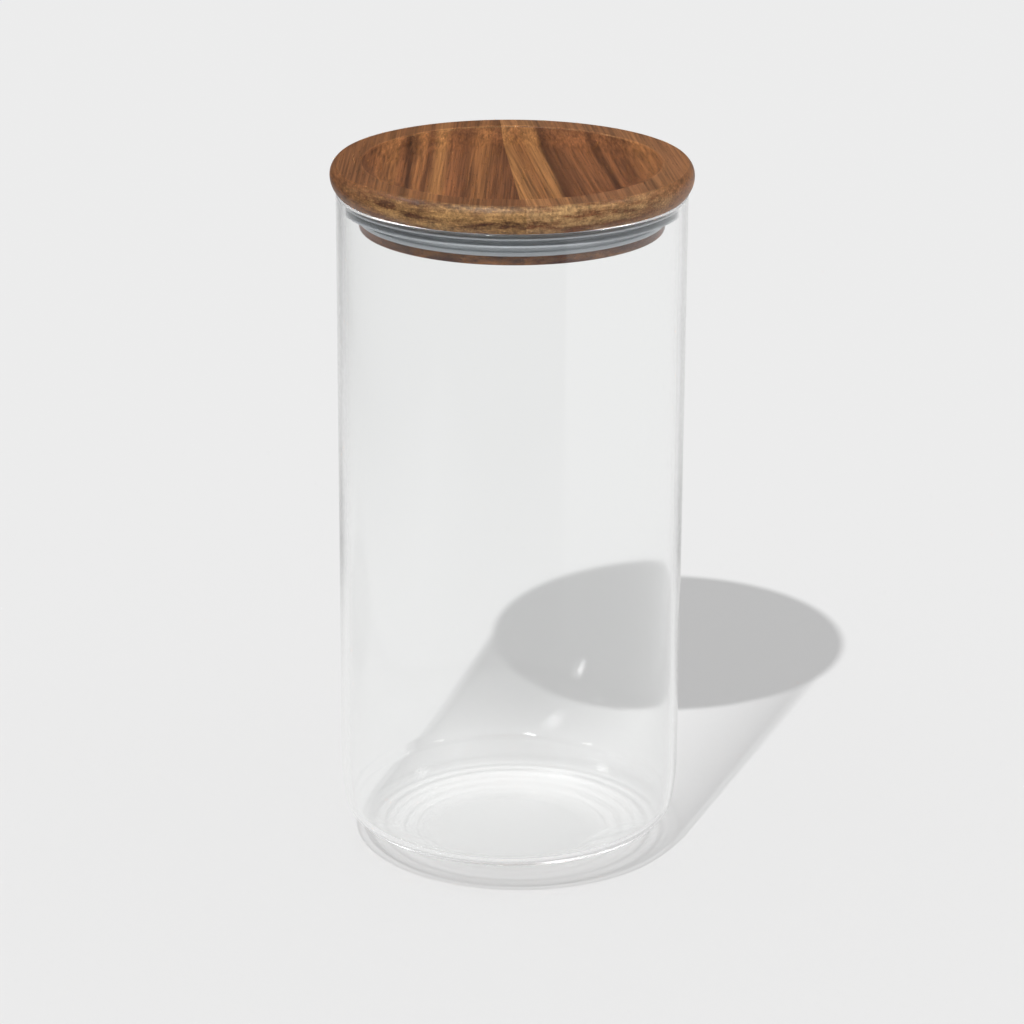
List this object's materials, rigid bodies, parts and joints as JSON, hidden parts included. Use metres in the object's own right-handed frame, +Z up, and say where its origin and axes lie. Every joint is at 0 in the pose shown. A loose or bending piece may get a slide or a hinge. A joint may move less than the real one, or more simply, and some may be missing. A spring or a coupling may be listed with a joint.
{
  "type": "lidded glass canister",
  "caption": "Straight-sided clear glass storage canister with a bowl-shaped bottom, a dished turned wooden lid glued from boards and a finned silicone seal on its plug.",
  "frame": {"origin": "centre of the jar's underside, on the surface it stands on", "axes": "+Z up along the axis the jar and lid are turned about; the glue line of the lid runs 4.4 degrees off the Y axis, front to back"},
  "size_m": [0.1032, 0.1032, 0.2072],
  "materials": {
    "glass": "clear, smooth",
    "wood": "satin oil",
    "silicone": "translucent satin"
  },
  "bodies": {
    "jar": {"glass_jar": "glass"},
    "seal": {"seal_ring": "silicone"},
    "lid": {"lid_board_left": "wood", "lid_board_right": "wood"}
  },
  "joints": [
    {"name": "lid_lift", "type": "slide", "parent": "jar", "child": "seal", "axis": [0, 0, 1], "range_m": [0, 0.06]},
    {"name": "lid_turn", "type": "hinge", "parent": "seal", "child": "lid", "pos_m": [0, 0, 0.1992], "axis": [0, 0, 1], "continuous": true}
  ]
}
